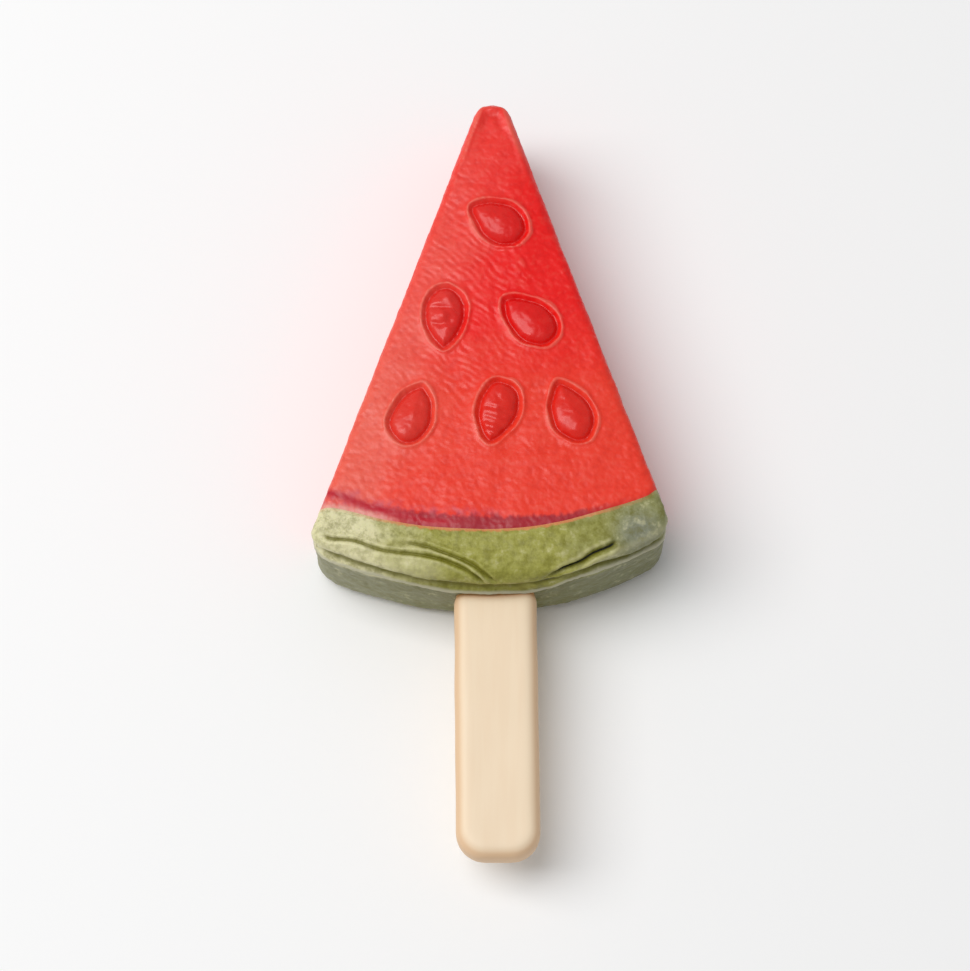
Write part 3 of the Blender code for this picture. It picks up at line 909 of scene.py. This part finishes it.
def rind_material(colours):
    """Frozen juice of another colour, cast in the same mould: mottled olive, pale at the left."""
    made, tree = new_material("frozen_rind_juice")
    place = add_node(tree, "ShaderNodeTexCoord").outputs["Object"]
    axes = add_node(tree, "ShaderNodeSeparateXYZ", {}, {0: place}).outputs
    relief = add_node(tree, "ShaderNodeAttribute", {"attribute_name": "relief"})
    creased = add_node(tree, "ShaderNodeAttribute", {"attribute_name": "creased"})
    seam = add_node(tree, "ShaderNodeAttribute", {"attribute_name": "seam"})
    line = add_node(tree, "ShaderNodeAttribute", {"attribute_name": "below_line"})
    clouds = add_node(
        tree, "ShaderNodeTexNoise", {}, {"Vector": place, "Scale": 1 / (7 * MM), "Detail": 2.0}
    )
    mottle = add_node(
        tree, "ShaderNodeTexNoise", {},
        {"Vector": place, "Scale": 1 / (2.0 * MM), "Detail": 4.0, "Roughness": 0.65},
    )
    grain = add_node(
        tree, "ShaderNodeTexNoise", {},
        {"Vector": place, "Scale": 1 / (0.9 * MM), "Detail": 3.0, "Roughness": 0.6},
    )

    # Pale at the left corner, greyer at the right one
    wander = add_node(tree, "ShaderNodeMath", MULTIPLY_ADD, {0: clouds, 1: 26 * MM, 2: -13 * MM})
    across = add_node(tree, "ShaderNodeMath", ADD, {0: axes["X"], 1: wander})
    pale = add_node(
        tree, "ShaderNodeMapRange", SMOOTH,
        {"Value": across, "From Min": -6 * MM, "From Max": -29 * MM},
    )
    colour = add_node(
        tree, "ShaderNodeMix", COLOURS, {0: pale, 6: rgba(colours.green), 7: rgba(colours.green_pale_and_highlight)}
    )
    grey = add_node(
        tree, "ShaderNodeMapRange", SMOOTH,
        {"Value": across, "From Min": 8 * MM, "From Max": 30 * MM, "To Max": 0.8},
    )
    from_cloud = add_node(
        tree, "ShaderNodeVectorMath", {"operation": "DISTANCE"},
        {0: place, 1: (28.0 * MM, -15.0 * MM, THICKNESS)},
    )
    cloud = add_node(
        tree, "ShaderNodeMapRange", SMOOTH,
        {"Value": from_cloud, "From Min": 7 * MM, "From Max": 1 * MM, "To Max": 0.5},
    )
    # Greyer green below the seam, darkened as painted shade on the wall that faces away from the lamp
    below = add_node(
        tree, "ShaderNodeMapRange", SMOOTH,
        {
            "Value": axes["Z"], "From Min": SEAM_Z + 0.8 * MM, "From Max": SEAM_Z - 1.2 * MM,
            "To Max": 0.8,
        },
    )

    # Mottling and grain
    dark_mottle = add_node(
        tree, "ShaderNodeMapRange", SMOOTH,
        {"Value": mottle, "From Min": 0.56, "From Max": 0.36, "To Max": 0.5},
    )
    light_mottle = add_node(
        tree, "ShaderNodeMapRange", SMOOTH,
        {"Value": mottle, "From Min": 0.54, "From Max": 0.72, "To Max": 0.4},
    )
    dark_grain = add_node(
        tree, "ShaderNodeMapRange", SMOOTH,
        {"Value": grain, "From Min": 0.5, "From Max": 0.3, "To Max": 0.25},
    )

    # Painted light and shade: a painted highlight on the rolls, painted shade in the creases, darker and
    # yellower, near black painted shade in the deepest one, and a painted highlight along the seam
    raised = add_node(
        tree, "ShaderNodeMapRange", SMOOTH,
        {"Value": relief, "From Min": 0.1, "From Max": 0.5, "To Max": 0.35},
    )
    # Painted shade in the creases and in the groove under the seam
    crease = add_node(
        tree, "ShaderNodeMapRange", SMOOTH,
        {"Value": creased, "From Min": 0.1, "From Max": 0.9, "To Max": 0.8},
    )
    # Painted shade, near black, in the deepest crease at the right
    painted_deep_shade = add_node(
        tree, "ShaderNodeMapRange", SMOOTH,
        {"Value": relief, "From Min": -0.55, "From Max": -0.95, "To Max": 0.9},
    )
    at_right = add_node(
        tree, "ShaderNodeMapRange", SMOOTH,
        {"Value": axes["X"], "From Min": 2 * MM, "From Max": 11 * MM},
    )
    painted_deep_shade = add_node(tree, "ShaderNodeMath", MULTIPLY, {0: painted_deep_shade, 1: at_right})
    # Painted highlight along the seam, whose flat top catches the lamp
    painted_seam_highlight = add_node(
        tree, "ShaderNodeMapRange", SMOOTH,
        {"Value": seam, "From Min": 0.1, "From Max": 0.65, "To Max": 0.8},
    )

    # A thin ragged peach line beside the flesh, faint at the left
    ragged = add_node(
        tree, "ShaderNodeTexNoise", {}, {"Vector": place, "Scale": 1 / (1.2 * MM), "Detail": 2.0}
    )
    ragged = add_node(tree, "ShaderNodeMath", MULTIPLY_ADD, {0: ragged, 1: 1.2, 2: -0.6})
    ragged = add_node(tree, "ShaderNodeMath", ADD, {0: line, 1: ragged})
    peach = add_node(
        tree, "ShaderNodeMapRange", SMOOTH,
        {"Value": ragged, "From Min": 0.8, "From Max": 0.25, "To Max": 0.8},
    )
    before_right = add_node(
        tree, "ShaderNodeMapRange", SMOOTH,
        {"Value": axes["X"], "From Min": 29 * MM, "From Max": 16 * MM, "To Min": 0.2},
    )
    past_left = add_node(
        tree, "ShaderNodeMapRange", SMOOTH,
        {"Value": axes["X"], "From Min": -27 * MM, "From Max": -16 * MM, "To Min": 0.25},
    )
    peach = add_node(tree, "ShaderNodeMath", MULTIPLY, {0: peach, 1: before_right})
    peach = add_node(tree, "ShaderNodeMath", MULTIPLY, {0: peach, 1: past_left})

    layers = (
        (grey, colours.green_grey),
        (cloud, colours.slate),
        (below, colours.green_grey_under_shade),
        (dark_mottle, colours.green_dark_mottle_and_shade),
        (light_mottle, colours.green_pale_and_highlight),
        (dark_grain, colours.green_dark_mottle_and_shade),
        (raised, colours.green_pale_and_highlight),
        (crease, colours.green_dark_mottle_and_shade),
        (painted_deep_shade, colours.green_painted_deep_shade),
        (painted_seam_highlight, colours.seam),
        (peach, colours.peach),
    )
    for share, tint in layers:
        colour = add_node(tree, "ShaderNodeMix", COLOURS, {0: share, 6: colour, 7: rgba(tint)})

    roughness = add_node(
        tree, "ShaderNodeMapRange", SMOOTH,
        {"Value": mottle, "From Min": 0.3, "From Max": 0.7, "To Min": 0.38, "To Max": 0.54},
    )
    bump = add_node(
        tree, "ShaderNodeBump", {}, {"Height": grain, "Distance": 0.24 * MM, "Strength": 0.6}
    )
    shader = add_node(
        tree, "ShaderNodeBsdfPrincipled", {},
        {
            "Base Color": colour,
            "Roughness": roughness,
            "Normal": bump,
            "IOR": 1.45,
            "Specular IOR Level": 0.4,
            "Subsurface Weight": 0.1,
            "Subsurface Radius": (0.8, 1.0, 0.4),
            "Subsurface Scale": 1.5 * MM,
        },
    )
    add_node(tree, "ShaderNodeOutputMaterial", {}, {"Surface": shader})
    return made


def stick_material(colours):
    """Pale birch, tumbled smooth: the grain barely shows, and the gloss is low and even. Shade is
    painted on its rounded edges, and a shadow where it meets the rind.
    """
    made, tree = new_material("tumbled_birch")
    place = add_node(tree, "ShaderNodeTexCoord").outputs["Object"]
    edge = add_node(tree, "ShaderNodeAttribute", {"attribute_name": "edge"})
    contact_shadow = add_node(tree, "ShaderNodeAttribute", {"attribute_name": "contact_shadow"})
    stretched = add_node(
        tree, "ShaderNodeMapping", {}, {"Vector": place, "Scale": (1.0, 0.08, 1.0)}
    )
    fibres = add_node(
        tree, "ShaderNodeTexNoise", {},
        {"Vector": stretched, "Scale": 1 / (1.4 * MM), "Detail": 3.0},
    )
    # Painted shade: darker, warmer wood on the rounded edges
    colour = add_node(
        tree, "ShaderNodeMix", COLOURS,
        {0: edge, 6: rgba(colours.stick), 7: rgba(colours.stick_grain_and_edge_shade)},
    )
    grain = add_node(
        tree, "ShaderNodeMapRange", SMOOTH,
        {"Value": fibres, "From Min": 0.35, "From Max": 0.7, "To Max": 0.12},
    )
    # Painted contact shadow where the stick meets the rind
    layers = (
        (grain, colours.stick_grain_and_edge_shade),
        (contact_shadow, colours.stick_contact_shadow),
    )
    for share, tint in layers:
        colour = add_node(tree, "ShaderNodeMix", COLOURS, {0: share, 6: colour, 7: rgba(tint)})

    bump = add_node(
        tree, "ShaderNodeBump", {}, {"Height": fibres, "Distance": 0.03 * MM, "Strength": 0.2}
    )
    shader = add_node(
        tree, "ShaderNodeBsdfPrincipled", {},
        {"Base Color": colour, "Roughness": 0.5, "Normal": bump, "IOR": 1.45},
    )
    add_node(tree, "ShaderNodeOutputMaterial", {}, {"Surface": shader})
    return made


class LOLLY_OT_flesh(bpy.types.Operator):
    """Cuts the red flesh, with its six seeds in relief, out of the moulded slice"""

    bl_idname = "lolly.flesh"
    bl_label = "Flesh"

    def execute(self, context):
        scene = context.scene
        piece = cut_piece("flesh_piece", "INTERSECT", scene.lolly_sizes)
        hand_over(piece, "flesh", flesh_material(scene.lolly_colours))
        return {"FINISHED"}


class LOLLY_OT_rind(bpy.types.Operator):
    """Cuts the green rind, with its creases and rolled foot, out of the moulded slice"""

    bl_idname = "lolly.rind"
    bl_label = "Rind"

    def execute(self, context):
        scene = context.scene
        piece = cut_piece("rind_piece", "DIFFERENCE", scene.lolly_sizes)
        hand_over(piece, "rind", rind_material(scene.lolly_colours))
        bpy.data.objects.remove(bpy.data.objects["moulded_slice"], do_unlink=True)
        return {"FINISHED"}


class LOLLY_OT_stick(bpy.types.Operator):
    """Makes the thick stick with its rounded edges and corners"""

    bl_idname = "lolly.stick"
    bl_label = "Stick"

    def execute(self, context):
        piece = build_stick()
        hand_over(piece, "stick", stick_material(context.scene.lolly_colours))
        return {"FINISHED"}


def build_stick():
    """A flat bar with rounded corners and edges, drawn in a little where it enters the slice."""
    low_y, high_y = STICK_LOW[1], STICK_HIGH[1]
    half_thickness = (STICK_HIGH[2] - STICK_LOW[2]) / 2
    lean_width = math.tan(STICK_LEAN) * (high_y - low_y - STICK_CORNER)
    half_width = (STICK_HIGH[0] - STICK_LOW[0] - lean_width) / 2
    corners = ((1, high_y, 0), (-1, high_y, 1), (-1, low_y, 2), (1, low_y, 3))
    ring = []
    for side, end, quarter in corners:
        inner = end - STICK_CORNER if end == high_y else end + STICK_CORNER
        centre = Vector((side * (half_width - STICK_CORNER), inner))
        start = quarter * math.pi / 2
        ring += [point for point, _ in arc(centre, STICK_CORNER, start, start + math.pi / 2, 16)]
    bm = bmesh.new()
    mould(bm, [[(*point, z) for point in ring] for z in (-half_thickness, half_thickness)])
    rims = [edge for edge in bm.edges if abs(edge.verts[0].co.z - edge.verts[1].co.z) < 0.1 * MM]
    bmesh.ops.bevel(
        bm, geom=rims, offset=STICK_ROUND, segments=8, profile=0.5, affect="EDGES", material=-1
    )
    stick = object_from(bm, "stick_piece")
    bm = even_mesh(stick, STICK_VOXEL, 3)
    bm.to_mesh(stick.data)
    bm.free()
    points, normals = read_points(stick.data)
    inside, *_ = foot_inside(points)
    neck = bell(inside, 1.0 * MM)
    height = 0.05 * MM * waves(points, 14 * MM, 41) - 0.45 * MM * neck
    points += normals * height[:, None]
    points[:, 0] += STICK_X - math.tan(STICK_LEAN) * (points[:, 1] - FOOT_Y)
    points[:, 2] += (STICK_LOW[2] + STICK_HIGH[2]) / 2
    write_points(stick.data, points)
    # Painted shade on the rounded edges, and a painted contact shadow beside the rind, both read by the
    # stick's material
    keep_value(stick.data, "edge", ramp(0.995, 0.6, np.abs(normals[:, 2])))
    keep_value(stick.data, "contact_shadow", bell(np.maximum(-inside, 0.0), 0.8 * MM))
    stick.data.shade_smooth()
    return stick


class LOLLY_OT_stage(bpy.types.Operator):
    """Lays a pale table under the lolly and lights it from the left with a large soft lamp"""

    bl_idname = "lolly.stage"
    bl_label = "Stage"

    def execute(self, context):
        scene = context.scene
        bm = bmesh.new()
        bmesh.ops.create_grid(bm, x_segments=1, y_segments=1, size=2.0)
        bmesh.ops.translate(bm, verts=bm.verts, vec=(0.0, 0.0, -0.05 * MM))
        table = object_from(bm, "table")
        made, tree = new_material("matt_table")
        shader = add_node(
            tree, "ShaderNodeBsdfPrincipled", {},
            {"Base Color": rgba(scene.lolly_colours.floor), "Roughness": 0.9, "Specular IOR Level": 0.1},
        )
        add_node(tree, "ShaderNodeOutputMaterial", {}, {"Surface": shader.outputs[0]})
        table.data.materials.append(made)

        world = bpy.data.worlds.new("soft_room")
        world.use_nodes = True
        world.node_tree.nodes.clear()
        room = add_node(
            world.node_tree, "ShaderNodeBackground", {},
            {"Color": (1.0, 1.0, 1.0, 1.0), "Strength": 0.38},
        )
        add_node(world.node_tree, "ShaderNodeOutputWorld", {}, {"Surface": room.outputs[0]})
        scene.world = world

        window = bpy.data.lights.new("window_lamp", "AREA")
        window.shape = "RECTANGLE"
        window.size = 0.75
        window.size_y = 1.30
        window.energy = 13.4
        window.color = (1.0, 1.0, 1.0)
        holder = bpy.data.objects.new("window_lamp", window)
        holder.location = (-0.62, 0.10, 1.14)
        holder.rotation_euler = (-Vector(holder.location)).to_track_quat("-Z", "Y").to_euler()
        scene.collection.objects.link(holder)
        scene.view_settings.view_transform = "Standard"
        return {"FINISHED"}


class LOLLY_OT_camera(bpy.types.Operator):
    """Places the camera over the front face, tilted a little towards the stick"""

    bl_idname = "lolly.camera"
    bl_label = "Camera"

    def execute(self, context):
        tilt = math.radians(20.0)
        distance = 0.60
        target = Vector((-1.45, -1.36, 12.0)) * MM
        camera = bpy.data.cameras.new("camera")
        camera.sensor_width = 36.0
        camera.lens = camera.sensor_width * distance / (188.0 * MM)
        camera.clip_start = 0.01
        holder = bpy.data.objects.new("camera", camera)
        holder.location = target + distance * Vector((0.0, -math.sin(tilt), math.cos(tilt)))
        holder.rotation_euler = (tilt, 0.0, 0.0)
        context.scene.collection.objects.link(holder)
        context.scene.camera = holder
        return {"FINISHED"}


STEPS = (LOLLY_OT_camera, LOLLY_OT_flesh, LOLLY_OT_rind, LOLLY_OT_stick, LOLLY_OT_stage)


class LOLLY_PT_panel(bpy.types.Panel):
    """Lists the lolly's steps, sizes and colours"""

    bl_idname = "LOLLY_PT_panel"
    bl_label = "Ice Lolly"
    bl_space_type = "VIEW_3D"
    bl_region_type = "UI"
    bl_category = "Ice Lolly"

    def draw(self, context):
        for step in STEPS:
            self.layout.operator(step.bl_idname)
        for group in (context.scene.lolly_sizes, context.scene.lolly_colours):
            box = self.layout.box()
            for name in group.__annotations__:
                box.prop(group, name)


CLASSES = (LollySizes, LollyColours, *STEPS, LOLLY_PT_panel)


def register():
    for item in CLASSES:
        bpy.utils.register_class(item)
    bpy.types.Scene.lolly_sizes = PointerProperty(type=LollySizes)
    bpy.types.Scene.lolly_colours = PointerProperty(type=LollyColours)


def unregister():
    del bpy.types.Scene.lolly_colours
    del bpy.types.Scene.lolly_sizes
    for item in reversed(CLASSES):
        bpy.utils.unregister_class(item)


def main():
    register()
    bpy.ops.lolly.camera()
    bpy.ops.lolly.flesh()
    bpy.ops.lolly.rind()
    bpy.ops.lolly.stick()
    bpy.ops.lolly.stage()


if __name__ == "__main__":
    main()
